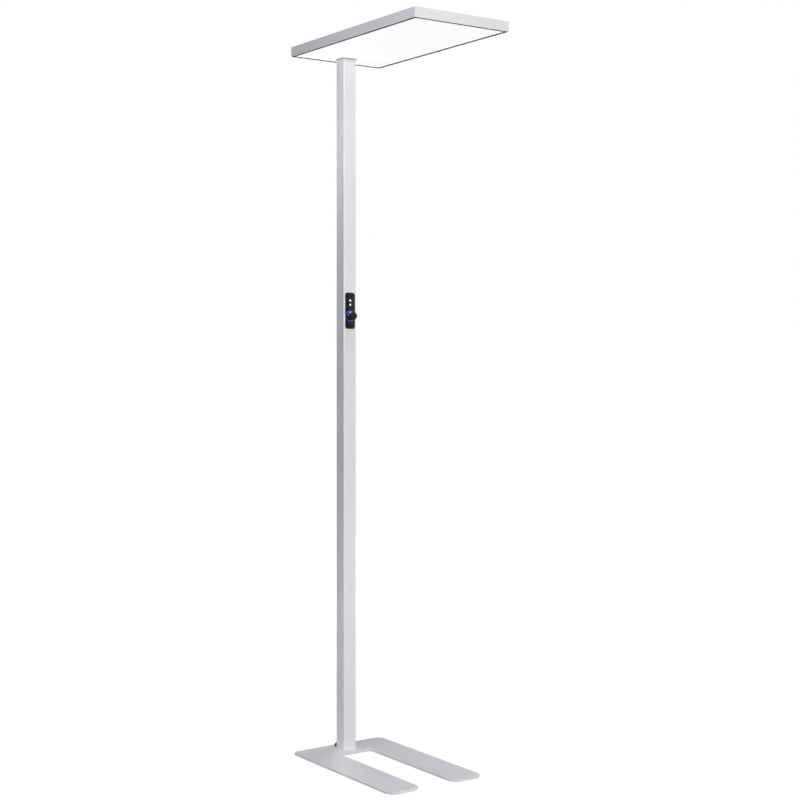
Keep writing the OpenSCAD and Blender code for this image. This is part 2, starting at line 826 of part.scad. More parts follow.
module side_rail() {
  difference() {
    translate([head_w / 2, head_rear - head_l / 2, 0]) rail(head_l);
    for (y = side_bracket_y) translate([head_w / 2 - ledge_mid, y, ledge_top])
      flat_screw_hole(m3, ledge_t + 1);
    for (y = side_panel_y) translate([head_w / 2 - ledge_mid, y, ledge_top]) screw_hole(m2_5, ledge_t + 1);
    for (y = tray_screw_y) translate([head_w / 2 - ledge_mid, y, tray_z]) screw_hole(m2_5, rib_t + 1);
  }
}

module right_rail() {
  color(silver) side_rail();
}

module left_rail() {
  color(silver) mirror([1, 0, 0]) side_rail();
}

module front_rail() {
  color(silver) difference() {
    translate([0, front_y, 0]) rotate([0, 0, -90]) rail(head_w);
    for (s = [-1, 1]) translate([s * end_panel_x, front_y + ledge_mid, ledge_top])
      screw_hole(m2_5, ledge_t + 1);
  }
}

module rear_rail() {
  color(silver) difference() {
    translate([0, head_rear, 0]) rotate([0, 0, 90]) rail(head_w);
    for (s = [-1, 1]) {
      translate([s * rear_bracket_x, head_rear - ledge_mid, ledge_top]) flat_screw_hole(m3, ledge_t + 1);
      translate([s * end_panel_x, head_rear - ledge_mid, ledge_top]) screw_hole(m2_5, ledge_t + 1);
    }
  }
}

// Puts a child, drawn in the +X +Y corner of the room inside the rails, into all four corners
module in_corners() {
  for (sx = [0, 1], sy = [0, 1])
    translate([0, (room_rear + room_front) / 2, 0]) mirror([sx, 0, 0]) mirror([0, sy, 0])
      translate([room_x, (room_rear - room_front) / 2, 0]) children();
}

module corner_keys() {
  color(steel) in_corners() difference() {
    translate([0, 0, key_z]) union() {
      translate([-key_leg, -key_t, 0]) cube([key_leg, key_t, key_h]);
      translate([-key_t, -key_leg, 0]) cube([key_t, key_leg, key_h]);
    }
    translate([0, 0, key_z + key_h / 2]) {
      translate([-key_screw_at, 1, 0]) rotate([90, 0, 0])
        cylinder(r = key_screw_r + screw_gap, h = key_t + 2);
      translate([1, -key_screw_at, 0]) rotate([0, -90, 0])
        cylinder(r = key_screw_r + screw_gap, h = key_t + 2);
    }
  }
}

module key_screws() {
  color(steel) in_corners() translate([0, 0, key_z + key_h / 2]) {
    translate([-key_screw_at, 0, 0]) rotate([90, 0, 0]) cylinder(r = key_screw_r, h = key_t);
    translate([0, -key_screw_at, 0]) rotate([0, -90, 0]) cylinder(r = key_screw_r, h = key_t);
  }
}

module head_bracket() {
  w = 2 * (room_x - sheet_gap);
  rear = room_rear - sheet_gap;
  // metal left beside the rails, beside the column, and at both ends of the two openings
  side = 3 * lip_w;
  middle = col_half + 12;
  end = 30;
  cut_w = w / 2 - side - middle;
  cut_l = bracket_reach + rear - 2 * end;
  color(steel) difference() {
    translate([-w / 2, -bracket_reach, bracket_z]) cube([w, rear + bracket_reach, bracket_t]);
    for (s = [-1, 1]) translate([s * (middle + cut_w / 2), (rear - bracket_reach) / 2, bracket_z - 1])
      linear_extrude(bracket_t + 2) rounded_rect(cut_w, cut_l, 8);
    for (sx = [-1, 1], sy = [-1, 1])
      translate([sx * block_screw_xy, sy * block_screw_xy, ledge_bottom])
        flat_screw_hole(m5, bracket_t + 1);
    for (s = [-1, 1], y = side_bracket_y)
      translate([s * (head_w / 2 - ledge_mid), y, ledge_bottom]) screw_hole(m3, bracket_t + 1);
    for (s = [-1, 1]) translate([s * rear_bracket_x, head_rear - ledge_mid, ledge_bottom])
      screw_hole(m3, bracket_t + 1);
  }
}

module bracket_screws() {
  length = ledge_t + bracket_t;
  color(steel) {
    for (s = [-1, 1], y = side_bracket_y)
      translate([s * (head_w / 2 - ledge_mid), y, ledge_top]) flat_screw(m3, length);
    for (s = [-1, 1]) translate([s * rear_bracket_x, head_rear - ledge_mid, ledge_top])
      flat_screw(m3, length);
  }
}

module head_block() {
  color(steel) difference() {
    translate([0, 0, bracket_z - head_block_h]) column_block(head_block_h);
    translate([head_lead_x - lead_d, -col_w, lead_slot_z]) cube([2 * lead_d, col_w, head_t]);
    for (sx = [-1, 1], sy = [-1, 1])
      translate([sx * block_screw_xy, sy * block_screw_xy, bracket_z])
        screw_hole(m5, block_screw_bite + drill_spare);
    to_back(block_w / 2, neck_screw_z) screw_hole(m4, side_hole_depth);
    to_front(block_w / 2, neck_screw_z) screw_hole(m4, side_hole_depth);
  }
}

module block_screws() {
  color(steel) for (sx = [-1, 1], sy = [-1, 1])
    translate([sx * block_screw_xy, sy * block_screw_xy, ledge_bottom])
      flat_screw(m5, bracket_t + block_screw_bite);
}

module neck_screws() {
  color(steel) {
    to_back(col_half, neck_screw_z) pan_screw(m4, side_screw_l);
    to_front(col_half, neck_screw_z) pan_screw(m4, side_screw_l);
  }
}

// A sheet that fills the room inside the rails, with the square hole for the column
module room_sheet(z, t, gap) {
  difference() {
    translate([-room_x + gap, room_front + gap, z])
      cube([2 * (room_x - gap), room_rear - room_front - 2 * gap, t]);
    translate([-hole_w / 2, -hole_w / 2, z - 1]) cube([hole_w, hole_w, t + 2]);
  }
}

module led_tray() {
  color(white) difference() {
    room_sheet(tray_z, tray_t, sheet_gap);
    for (s = [-1, 1], y = tray_screw_y)
      translate([s * (head_w / 2 - ledge_mid), y, tray_top]) screw_hole(m2_5, tray_t + 1);
  }
}

module tray_screws() {
  color(steel) for (s = [-1, 1], y = tray_screw_y)
    translate([s * (head_w / 2 - ledge_mid), y, tray_top]) pan_screw(m2_5, tray_t + rib_t);
}

// A strip board with a row of LEDs on its upper face, drawn from its middle
module led_strip(length, count) {
  pitch = length / count;
  translate([-strip_w / 2, -length / 2, 0]) cube([strip_w, length, board_t]);
  for (i = [0:count - 1])
    translate([-led_w / 2, (i + 0.5) * pitch - length / 2 - led_w / 2, board_t - eps])
      cube([led_w, led_w, led_h + eps]);
}

module down_led_boards() {
  length = head_l - 2 * panel_screw_end;
  color(opal) for (s = [-1, 1], x = [head_w * 0.15, head_w * 0.36])
    translate([s * x, head_rear - head_l / 2, tray_z]) mirror([0, 0, 1]) led_strip(length, 18);
}

module up_led_boards() {
  color(opal) for (s = [-1, 1])
    translate([s * window_w / 4, window_y, tray_top]) led_strip(window_l - 2 * strip_margin, 12);
}

module led_plug() {
  color(opal) translate([head_lead_x - led_plug_w / 2, -led_plug_y - led_plug_l, tray_top])
    cube([led_plug_w, led_plug_l, lead_room - 0.4]);
}

module down_diffuser() {
  color(opal) room_sheet(lip_top, diffuser_t, sheet_gap);
}

module diffuser_collar() {
  inner = col_w + 2 * slide_gap;
  color(silver) translate([0, 0, lip_top - collar_t]) linear_extrude(collar_t) difference() {
    square(inner + 2 * collar_w, center = true);
    square(inner, center = true);
  }
}

module top_panel() {
  w = 2 * (room_x - sheet_gap);
  l = room_rear - room_front - 2 * sheet_gap;
  color(silver) difference() {
    translate([-w / 2, room_front + sheet_gap, ledge_top]) cube([w, l, panel_t]);
    translate([0, window_y, ledge_top - 1]) linear_extrude(panel_t + 2)
      rounded_rect(window_w, window_l, window_r);
    at_panel_screws() flat_screw_hole(m2_5, panel_t + 1);
  }
}

// The places of the screws round the top panel, on its upper face
module at_panel_screws() {
  for (s = [-1, 1]) {
    for (y = side_panel_y) translate([s * (head_w / 2 - ledge_mid), y, total_h]) children();
    for (y = [front_y + ledge_mid, head_rear - ledge_mid])
      translate([s * end_panel_x, y, total_h]) children();
  }
}

module panel_screws() {
  color(steel) at_panel_screws() flat_screw([m2_5[0], m2_5[1], panel_t - 0.1], panel_t + ledge_t);
}

// A flange under the panel and a raised middle that lies flush in the window
module up_diffuser() {
  color(opal) translate([0, window_y, 0]) {
    translate([0, 0, ledge_top - diffuser_t]) linear_extrude(diffuser_t)
      rounded_rect(window_w + 2 * window_rim, window_l + 2 * window_rim, window_r);
    translate([0, 0, ledge_top - eps]) linear_extrude(panel_t + eps)
      rounded_rect(window_w - 2 * sheet_gap, window_l - 2 * sheet_gap, window_r - sheet_gap);
  }
}

base_plate();
floor_pads();
screw_cover_pad();
base_screws();
foot_block();
column_screws();
cable_outlet();
outlet_screws();
column();
terminal_block();
terminal_lead();
led_driver();
driver_screws();
head_lead();
control_lead();
control_fascia();
control_housing();
housing_clips();
control_board();
board_screws();
control_plug();
encoder_body();
encoder_nut();
encoder_shaft();
switch_plunger();
switch_dome();
dimmer_knob();
light_ring();
ring_leds();
motion_sensor();
motion_lens();
daylight_sensor();
daylight_lens();
front_rail();
rear_rail();
left_rail();
right_rail();
corner_keys();
key_screws();
head_bracket();
bracket_screws();
head_block();
block_screws();
neck_screws();
led_tray();
tray_screws();
down_led_boards();
up_led_boards();
led_plug();
down_diffuser();
diffuser_collar();
top_panel();
panel_screws();
up_diffuser();
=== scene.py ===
# Office floor lamp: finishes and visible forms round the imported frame.
# Metres, +Z up. The legs and the head reach towards -Y, which is the front.
from math import atan2, cos, hypot, pi, radians, sin

import bmesh
import bpy
from mathutils import Matrix, Vector


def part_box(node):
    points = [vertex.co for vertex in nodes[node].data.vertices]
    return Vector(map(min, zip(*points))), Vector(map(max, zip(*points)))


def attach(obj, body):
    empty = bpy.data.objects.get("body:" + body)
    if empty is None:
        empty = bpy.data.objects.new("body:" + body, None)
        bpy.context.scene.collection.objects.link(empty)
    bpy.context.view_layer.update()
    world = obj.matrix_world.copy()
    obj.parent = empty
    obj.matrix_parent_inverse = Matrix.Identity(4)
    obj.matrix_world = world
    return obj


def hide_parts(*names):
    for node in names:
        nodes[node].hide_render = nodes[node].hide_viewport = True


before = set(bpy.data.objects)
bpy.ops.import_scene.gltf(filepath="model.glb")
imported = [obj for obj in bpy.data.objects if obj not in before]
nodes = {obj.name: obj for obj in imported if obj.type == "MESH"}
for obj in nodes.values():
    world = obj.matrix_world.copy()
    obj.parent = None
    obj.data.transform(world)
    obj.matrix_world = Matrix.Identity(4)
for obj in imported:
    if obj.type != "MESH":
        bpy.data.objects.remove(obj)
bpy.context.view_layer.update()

mm = 0.001


# ---- View ----
# The photograph was taken with a level camera, 1.1 m above the floor and 4.2 m from the
# column, 33 degrees to the left of the front. The shift sets the horizon above the middle.
frame_px = 800
focal_px = 1499.3
horizon_px = 358.4
sensor = 36
eye = (-2.27718, -3.54426, 1.09969)
heading = -0.607

camera = bpy.data.objects.new("camera", bpy.data.cameras.new("camera"))
camera.data.sensor_width = sensor
camera.data.lens = focal_px / frame_px * sensor
camera.data.shift_y = (horizon_px - frame_px / 2) / frame_px
camera.location = eye
camera.rotation_euler = (radians(90), 0, heading)
bpy.context.scene.collection.objects.link(camera)
bpy.context.scene.camera = camera


# ---- Studio ----
# A white sweep without a horizon. Two wide boxes light the front, others stand behind, at the
# sides and over the head, and four small ones near the lamp grade its column. The one right
# under the head stands for the light of the diffuser.
room_light = 0.02
floor_reach = 60
floor_shade = 0.07
floor_drop = 0.3 * mm
glow_near = 0.5
glow_far = 1.6
glow_least = 0.95
glow_most = 1.02
gap_reach = 8 * mm
gap_open = 0.6
gap_shade = 0.7
warm = (1, 0.995, 0.975)
cool = (0.96, 0.965, 1)
open_spread = 180
gridded = 80
narrow = 52
soft_boxes = (
    # name, place, aim, width, height, watts, colour, spread in degrees, seen in gloss
    ("front_box", (0, -4.5, 1.5), (0, 0, 1.2), 2.2, 1.2, 202, warm, open_spread, False),
    ("front_high_box", (0, -4.5, 3.0), (0, 0, 1.2), 2.2, 1.4, 68, warm, open_spread, False),
    ("top_box", (0.2, -1.8, 3.9), (0, -0.3, 0), 1.6, 1.4, 12, cool, open_spread),
    ("rear_box", (0.8, 4.4, 1.4), (0, 0, 1.0), 2.2, 1.4, 95, cool, open_spread, False),
    ("right_box", (4.2, 0.6, 2.8), (0, 0, 1.0), 2.0, 1.4, 60, cool, open_spread),
    ("left_box", (-3.5, 0.5, 1.3), (0, 0, 1.2), 0.6, 2.0, 53, cool, open_spread),
    ("left_high_box", (-3.6, -0.6, 3.2), (0, 0, 0.8), 1.2, 1.2, 22, cool, open_spread),
    ("left_front_box", (-1.05, -0.78, 1.95), (0, 0, 1.9), 0.5, 0.4, 5.8, cool, open_spread),
    ("neck_strip", (-0.13, 0.55, 1.78), (-0.02, 0, 1.78), 0.03, 0.4, 1.0, cool, open_spread),
    ("front_foot_box", (0.3, -1.8, 0.25), (0, 0, 0.35), 0.6, 0.3, 1.3, warm, gridded),
    ("left_foot_box", (-1.15, 0.5, 0.2), (0, 0, 0.15), 0.6, 0.25, 0.95, cool, gridded),
    ("panel_box", (0, -0.25, 3.1), (0, -0.25, 0), 0.35, 0.6, 1.4, cool, narrow),
    ("head_glow", (0, -0.25, 1.93), (0, -0.25, 0), 0.24, 0.5, 1.1, cool, narrow),
)


def soft_box(name, place, aim, width, height, watts, colour, spread, in_gloss=True):
    """A rectangular area light, hidden from the camera and, if told so, from reflections."""
    lamp = bpy.data.lights.new(name, "AREA")
    lamp.shape = "RECTANGLE"
    lamp.size = width
    lamp.size_y = height
    lamp.energy = watts
    lamp.color = colour
    lamp.spread = radians(spread)
    box = bpy.data.objects.new(name, lamp)
    box.location = place
    box.rotation_euler = (Vector(aim) - Vector(place)).to_track_quat("-Z", "Y").to_euler()
    box.visible_camera = False
    box.visible_glossy = in_gloss
    bpy.context.scene.collection.objects.link(box)


def white_to_camera(tree, seen, cast, output):
    """Shows one shader to the camera, and lights the object with another."""
    ray = tree.nodes.new("ShaderNodeLightPath")
    mix = tree.nodes.new("ShaderNodeMixShader")
    tree.links.new(ray.outputs["Is Camera Ray"], mix.inputs["Fac"])
    tree.links.new(cast, mix.inputs[1])
    tree.links.new(seen, mix.inputs[2])
    tree.links.new(mix.outputs["Shader"], output.inputs["Surface"])


for soft_box_values in soft_boxes:
    soft_box(*soft_box_values)

world = bpy.data.worlds.new("studio")
world.use_nodes = True
room = world.node_tree.nodes["Background"]
room.inputs["Color"].default_value = (1, 1, 1, 1)
room.inputs["Strength"].default_value = room_light
backdrop = world.node_tree.nodes.new("ShaderNodeBackground")
backdrop.inputs["Color"].default_value = (1, 1, 1, 1)
white_to_camera(
    world.node_tree, backdrop.outputs[0], room.outputs[0], world.node_tree.nodes["World Output"]
)
bpy.context.scene.world = world

# The paper glows for the camera, a little less round the base, where it shows its shadows.
# In the narrow gap under the plate an occlusion test dims the glow further: painted shade.
floor_finish = bpy.data.materials.new("white_sweep")
floor_finish.use_nodes = True
tree = floor_finish.node_tree
tree.nodes.clear()
paper = tree.nodes.new("ShaderNodeBsdfDiffuse")
paper.inputs["Color"].default_value = (floor_shade, floor_shade, floor_shade, 1)
glow = tree.nodes.new("ShaderNodeEmission")
place = tree.nodes.new("ShaderNodeTexCoord")
distance = tree.nodes.new("ShaderNodeVectorMath")
distance.operation = "LENGTH"
strength = tree.nodes.new("ShaderNodeMapRange")
strength.inputs["From Min"].default_value = glow_near
strength.inputs["From Max"].default_value = glow_far
strength.inputs["To Min"].default_value = glow_least
strength.inputs["To Max"].default_value = glow_most
# Painted shade: the glow is dimmed where the occlusion test finds the plate close above.
crevice = tree.nodes.new("ShaderNodeAmbientOcclusion")
crevice.inputs["Distance"].default_value = gap_reach
openness = tree.nodes.new("ShaderNodeMapRange")
openness.inputs["From Max"].default_value = gap_open
openness.inputs["To Min"].default_value = gap_shade
dimmed = tree.nodes.new("ShaderNodeMath")
dimmed.operation = "MULTIPLY"
lit_paper = tree.nodes.new("ShaderNodeAddShader")
tree.links.new(place.outputs["Object"], distance.inputs[0])
tree.links.new(distance.outputs["Value"], strength.inputs["Value"])
tree.links.new(crevice.outputs["AO"], openness.inputs["Value"])
tree.links.new(strength.outputs["Result"], dimmed.inputs[0])
tree.links.new(openness.outputs["Result"], dimmed.inputs[1])
tree.links.new(dimmed.outputs["Value"], glow.inputs["Strength"])
tree.links.new(paper.outputs[0], lit_paper.inputs[0])
tree.links.new(glow.outputs[0], lit_paper.inputs[1])
white_to_camera(tree, lit_paper.outputs[0], paper.outputs[0], tree.nodes.new("ShaderNodeOutputMaterial"))

bm = bmesh.new()
bmesh.ops.create_grid(
    bm, x_segments=1, y_segments=1, size=floor_reach / 2, matrix=Matrix.Translation((0, 0, -floor_drop))
)
floor_mesh = bpy.data.meshes.new("floor")
bm.to_mesh(floor_mesh)
bm.free()
floor_mesh.materials.append(floor_finish)
floor = bpy.data.objects.new("floor", floor_mesh)
bpy.context.scene.collection.objects.link(floor)
bpy.context.scene.view_settings.view_transform = "Standard"


# ---- Base plate ----
# A U-shaped plate, laser-cut from 5 mm steel and coated with silver-grey powder. The cut
# edges are broken before coating. Four countersunk holes lie under the column.
low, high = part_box("base_plate")
slot_half = 50 * mm
slot_end = -49.5 * mm
rear_r = 22 * mm
toe_r = 27 * mm
slot_r = 6 * mm
base_screw_at = 11.55 * mm
screw_field = 1.6 * base_screw_at
base_screw_hole = 3.1 * mm
countersink = 3 * mm
plate_edge = 1.2 * mm
silver = (0.56, 0.56, 0.585)
coat_grain = 1400
coat_relief = 0.02 * mm
hair = 0.001 * mm
crease = 40
steep = 60
coplanar = 1


def new_finish(name, colour, roughness, metallic=0.0):
    """A Principled finish of one colour, to which patterns are then added."""
    finish = bpy.data.materials.new(name)
    finish.use_nodes = True
    shader = finish.node_tree.nodes["Principled BSDF"]
    shader.inputs["Base Color"].default_value = (*colour, 1)
    shader.inputs["Roughness"].default_value = roughness
    shader.inputs["Metallic"].default_value = metallic
    return finish


def pattern(finish, kind, scale, stretch=(1, 1, 1), centre=(0, 0, 0), **settings):
    """A texture in object coordinates; the scale counts its features per metre."""
    tree = finish.node_tree
    place = tree.nodes.new("ShaderNodeTexCoord")
    mapping = tree.nodes.new("ShaderNodeMapping")
    factors = [scale * part for part in stretch]
    mapping.inputs["Scale"].default_value = factors
    mapping.inputs["Location"].default_value = [-factor * part for factor, part in zip(factors, centre)]
    texture = tree.nodes.new("ShaderNodeTex" + kind)
    for name, value in settings.items():
        if name in texture.inputs:
            texture.inputs[name].default_value = value
        else:
            setattr(texture, name, value)
    if "Scale" in texture.inputs:
        texture.inputs["Scale"].default_value = 1
    tree.links.new(place.outputs["Object"], mapping.inputs["Vector"])
    tree.links.new(mapping.outputs["Vector"], texture.inputs["Vector"])
    return texture.outputs[0]


def vary(finish, source, socket, least, most, span=(0.3, 0.7)):
    """Lets a pattern move one of the shader's numbers between two values."""
    tree = finish.node_tree
    spread = tree.nodes.new("ShaderNodeMapRange")
    spread.inputs["From Min"].default_value = span[0]
    spread.inputs["From Max"].default_value = span[1]
    spread.inputs["To Min"].default_value = least
    spread.inputs["To Max"].default_value = most
    tree.links.new(source, spread.inputs["Value"])
    tree.links.new(spread.outputs["Result"], tree.nodes["Principled BSDF"].inputs[socket])


def tint(finish, source, first, second, socket="Base Color", span=(0.3, 0.7)):
    """Lets a pattern mix two colours."""
    tree = finish.node_tree
    ramp = tree.nodes.new("ShaderNodeValToRGB")
    ramp.color_ramp.elements[0].position = span[0]
    ramp.color_ramp.elements[0].color = (*first, 1)
    ramp.color_ramp.elements[1].position = span[1]
    ramp.color_ramp.elements[1].color = (*second, 1)
    tree.links.new(source, ramp.inputs["Fac"])
    tree.links.new(ramp.outputs["Color"], tree.nodes["Principled BSDF"].inputs[socket])


def relief(finish, source, depth, strength=1.0):
    """Raises the surface by a pattern."""
    tree = finish.node_tree
    bump = tree.nodes.new("ShaderNodeBump")
    bump.inputs["Distance"].default_value = depth
    bump.inputs["Strength"].default_value = strength
    tree.links.new(source, bump.inputs["Height"])
    tree.links.new(bump.outputs["Normal"], tree.nodes["Principled BSDF"].inputs["Normal"])


def shade(colour, factor):
    return tuple(factor * part for part in colour)


def powder_coat(name, colour, roughness=(0.44, 0.54)):
    """Baked silver powder: a fine orange peel, flake glints and a faint cloudiness."""
    finish = new_finish(name, colour, sum(roughness) / 2, metallic=0.25)
    peel = pattern(finish, "Noise", coat_grain, Detail=2.0)
    clouds = pattern(finish, "Noise", 9, Detail=3.0)
    tint(finish, clouds, shade(colour, 0.975), shade(colour, 1.025))
    vary(finish, peel, "Roughness", *roughness)
    relief(finish, peel, coat_relief, 0.5)
    return finish


def rounded_outline(bm, corners, height=0.0):
    """A closed outline from (x, y, corner radius); returns its edges."""
    before = set(bm.edges)
    verts = [bm.verts.new((x, y, height)) for x, y, radius in corners]
    bm.faces.new(verts)
    for vert, (x, y, radius) in zip(verts, corners):
        if radius:
            bmesh.ops.bevel(
                bm, geom=[vert], offset=radius, segments=10, profile=0.5, affect="VERTICES", material=-1
            )
    edges = [edge for edge in bm.edges if edge not in before]
    faces = {face for edge in edges for face in edge.link_faces}
    bmesh.ops.delete(bm, geom=list(faces), context="FACES_ONLY")
    return edges


def round_hole(bm, x, y, radius, height=0.0, segments=32):
    """A circle of edges in their own order, which fill_sheet leaves open."""
    before = set(bm.edges)
    bmesh.ops.create_circle(
        bm, cap_ends=False, radius=radius, segments=segments, matrix=Matrix.Translation((x, y, height))
    )
    return [edge for edge in bm.edges if edge not in before]


def fill_sheet(bm, edges):
    """Fills between an outline and the holes in it; returns the faces, which look to +Z."""
    filled = bmesh.ops.triangle_fill(
        bm, use_beauty=True, use_dissolve=False, edges=edges, normal=(0, 0, 1)
    )
    return [part for part in filled["geom"] if isinstance(part, bmesh.types.BMFace)]


def thicken(bm, faces, depth):
    """Gives a flat sheet its thickness along +Z, with walls round its edges and holes."""
    raised = bmesh.ops.extrude_face_region(bm, geom=faces)
    verts = [part for part in raised["geom"] if isinstance(part, bmesh.types.BMVert)]
    bmesh.ops.translate(bm, vec=(0, 0, depth), verts=verts)
    bmesh.ops.recalc_face_normals(bm, faces=bm.faces[:])
    bmesh.ops.dissolve_limit(bm, angle_limit=radians(coplanar), verts=bm.verts[:], edges=bm.edges[:])


def sharp_edges(bm, chosen=lambda point: True, least=crease):
    return [
        edge for edge in bm.edges
        if len(edge.link_faces) == 2
        and abs(edge.calc_face_angle(0)) > radians(least)
        and all(chosen(vert.co) for vert in edge.verts)
    ]


def break_edges(bm, edges, offset, segments=3):
    bmesh.ops.bevel(
        bm, geom=edges, offset=offset, segments=segments, profile=0.5, affect="EDGES", material=-1
    )


def finished(name, bm, *finishes):
    """Turns a bmesh into an object with smooth rounded edges and flat faces."""
    mesh = bpy.data.meshes.new(name)
    bm.to_mesh(mesh)
    bm.free()
    mesh.polygons.foreach_set("use_smooth", [True] * len(mesh.polygons))
    mesh.set_sharp_from_angle(angle=radians(crease))
    for finish in finishes:
        mesh.materials.append(finish)
    piece = bpy.data.objects.new(name, mesh)
    bpy.context.scene.collection.objects.link(piece)
    normals = piece.modifiers.new("face_weighted_normals", "WEIGHTED_NORMAL")
    normals.keep_sharp = True
    normals.weight = 80
    return piece


silver_coat = powder_coat("silver_powder_coat", silver)

bm = bmesh.new()
edges = rounded_outline(bm, (
    (high.x, high.y, rear_r),
    (low.x, high.y, rear_r),
    (low.x, low.y, toe_r),
    (-slot_half, low.y, toe_r),
    (-slot_half, slot_end, slot_r),
    (slot_half, slot_end, slot_r),
    (slot_half, low.y, toe_r),
    (high.x, low.y, toe_r),
), low.z)
for x in (-base_screw_at, base_screw_at):
    for y in (-base_screw_at, base_screw_at):
        edges += round_hole(bm, x, y, base_screw_hole, low.z)
thicken(bm, fill_sheet(bm, edges), high.z - low.z)


def by_column(point):
    return hypot(point.x, point.y) < screw_field


break_edges(bm, sharp_edges(bm, lambda point: not by_column(point), steep), plate_edge)
break_edges(
    bm, sharp_edges(bm, lambda point: by_column(point) and point.z < low.z + hair, steep), countersink, 1
)
base_plate = finished("base_plate_coated", bm, silver_coat)
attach(base_plate, "lamp")
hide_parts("base_plate")


# ---- Floor pads ----
# Six round pads and a square one over the base screws, stamped from black foam rubber
# and stuck under the plate, so that the steel doesn't mark the floor.
pad_black = (0.028, 0.028, 0.03)

foam = new_finish("foam_rubber", pad_black, 0.9)
cells = pattern(foam, "Voronoi", 1700)
vary(foam, cells, "Roughness", 0.8, 0.97, (0.0, 0.8))
relief(foam, cells, 0.1 * mm, 0.8)
for name in ("floor_pads", "screw_cover_pad"):
    nodes[name].material_slots[0].material = foam


# ---- Column ----
# A square aluminium extrusion in one length, 40 mm wide, coated like the base. It slides
# over the foot block and carries the head on the block in its upper end.
nodes["column"].material_slots[0].material = silver_coat


# ---- Blocks and corner angles ----
# The foot block and the head block are milled from aluminium bar, and the angles in the
# head's corners are die cast. All are bare metal, hidden once the lamp is together.
raw_grey = (0.66, 0.66, 0.67)

raw_aluminium = new_finish("milled_aluminium", raw_grey, 0.4, metallic=1.0)
tool_marks = pattern(raw_aluminium, "Noise", 260, stretch=(1, 1, 9), Detail=4.0)
tint(raw_aluminium, tool_marks, shade(raw_grey, 0.93), shade(raw_grey, 1.05))
vary(raw_aluminium, tool_marks, "Roughness", 0.32, 0.5)
relief(raw_aluminium, tool_marks, 0.03 * mm, 0.4)
for name in ("foot_block", "head_block", "corner_keys"):
    nodes[name].material_slots[0].material = raw_aluminium


# ---- Screws ----
# Zinc-plated steel screws. Those that show at the back of the column and on the cable
# outlet have low round heads with a hexagon socket; the rest stay out of sight.
zinc_grey = (0.58, 0.59, 0.60)
small_button = {"head_r": 2.4 * mm, "head_h": 1.6 * mm, "shank_r": 1.25 * mm, "socket": 1.5 * mm}
flat_button = {"head_r": 2.75 * mm, "head_h": 1.4 * mm, "shank_r": 1.5 * mm, "socket": 2 * mm}
large_button = {"head_r": 4.7 * mm, "head_h": 2.6 * mm, "shank_r": 2.5 * mm, "socket": 3 * mm}
head_rounding = 0.72
socket_depth = 0.6
socket_mouth = 0.68
screw_sides = 36
weld = 0.0001 * mm

zinc = new_finish("zinc_plate", zinc_grey, 0.3, metallic=1.0)
plating = pattern(zinc, "Noise", 900, Detail=3.0)
tint(zinc, plating, shade(zinc_grey, 0.9), shade(zinc_grey, 1.06))
vary(zinc, plating, "Roughness", 0.22, 0.4)
for name in (
    "base_screws", "board_screws", "key_screws", "bracket_screws", "block_screws",
    "neck_screws", "tray_screws", "panel_screws",
):
    nodes[name].material_slots[0].material = zinc


def on_hexagon(vert, across):
    """Moves a vertex of a circle straight out or in, onto a hexagon."""
    angle = atan2(vert.co.y, vert.co.x)
    reach = across / 2 / cos(angle % radians(60) - radians(30))
    vert.co.x = reach * cos(angle)
    vert.co.y = reach * sin(angle)


def button_screw(bm, seat, shank_l, head_r, head_h, shank_r, socket):
    """A round-headed screw that points away from +Y, its head's seat at a place."""
    start = bmesh.new()
    profile = (
        (0, -shank_l), (shank_r, -shank_l), (shank_r, 0), (head_r, 0), (head_r, head_h),
        (socket * socket_mouth, head_h),
    )
    verts = [start.verts.new((radius, 0, height)) for radius, height in profile]
    for first, second in zip(verts, verts[1:]):
        start.edges.new((first, second))
    bmesh.ops.bevel(
        start, geom=[verts[4]], offset=head_h * head_rounding, segments=6, profile=0.5,
        affect="VERTICES", material=-1
    )
    bmesh.ops.spin(
        start, geom=start.verts[:] + start.edges[:], cent=(0, 0, 0), axis=(0, 0, 1), dvec=(0, 0, 0),
        angle=2 * pi, steps=screw_sides, use_merge=True, use_normal_flip=False, use_duplicate=False
    )
    bmesh.ops.remove_doubles(start, verts=start.verts[:], dist=weld)
    rim = [edge for edge in start.edges if len(edge.link_faces) == 1]
    for drop in (0, socket_depth * head_h):
        sunk = bmesh.ops.extrude_edge_only(start, edges=rim)["geom"]
        for vert in sunk:
            if isinstance(vert, bmesh.types.BMVert):
                on_hexagon(vert, socket)
                vert.co.z -= drop
        rim = [
            part for part in sunk if isinstance(part, bmesh.types.BMEdge) and len(part.link_faces) == 1
        ]
    bmesh.ops.holes_fill(start, edges=rim, sides=0)
    bmesh.ops.recalc_face_normals(start, faces=start.faces[:])
    to_back = Matrix.Translation(seat) @ Matrix.Rotation(-pi / 2, 4, "X")
    bmesh.ops.transform(start, matrix=to_back, verts=start.verts[:])
    made = bpy.data.meshes.new("screw")
    start.to_mesh(made)
    start.free()
    bm.from_mesh(made)
    bpy.data.meshes.remove(made)


def screw_pair(name, node, seat_y, size, axis):
    """Two button-head screws in the place of a node's, one at each end of its box."""
    low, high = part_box(node)
    bm = bmesh.new()
    for place in (low[axis] + size["head_r"], high[axis] - size["head_r"]):
        seat = (low + high) / 2
        seat[axis] = place
        seat.y = seat_y
        button_screw(bm, seat, seat_y - low.y, **size)
    screws = finished(name, bm, zinc)
    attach(screws, "lamp")
    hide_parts(node)


column_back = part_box("column")[1].y
outlet_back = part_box("cable_outlet")[1].y
x_axis, z_axis = 0, 2
screw_pair("column_button_screws", "column_screws", column_back, large_button, z_axis)
screw_pair("driver_button_screws", "driver_screws", column_back, flat_button, z_axis)
screw_pair("outlet_button_screws", "outlet_screws", outlet_back, small_button, x_axis)


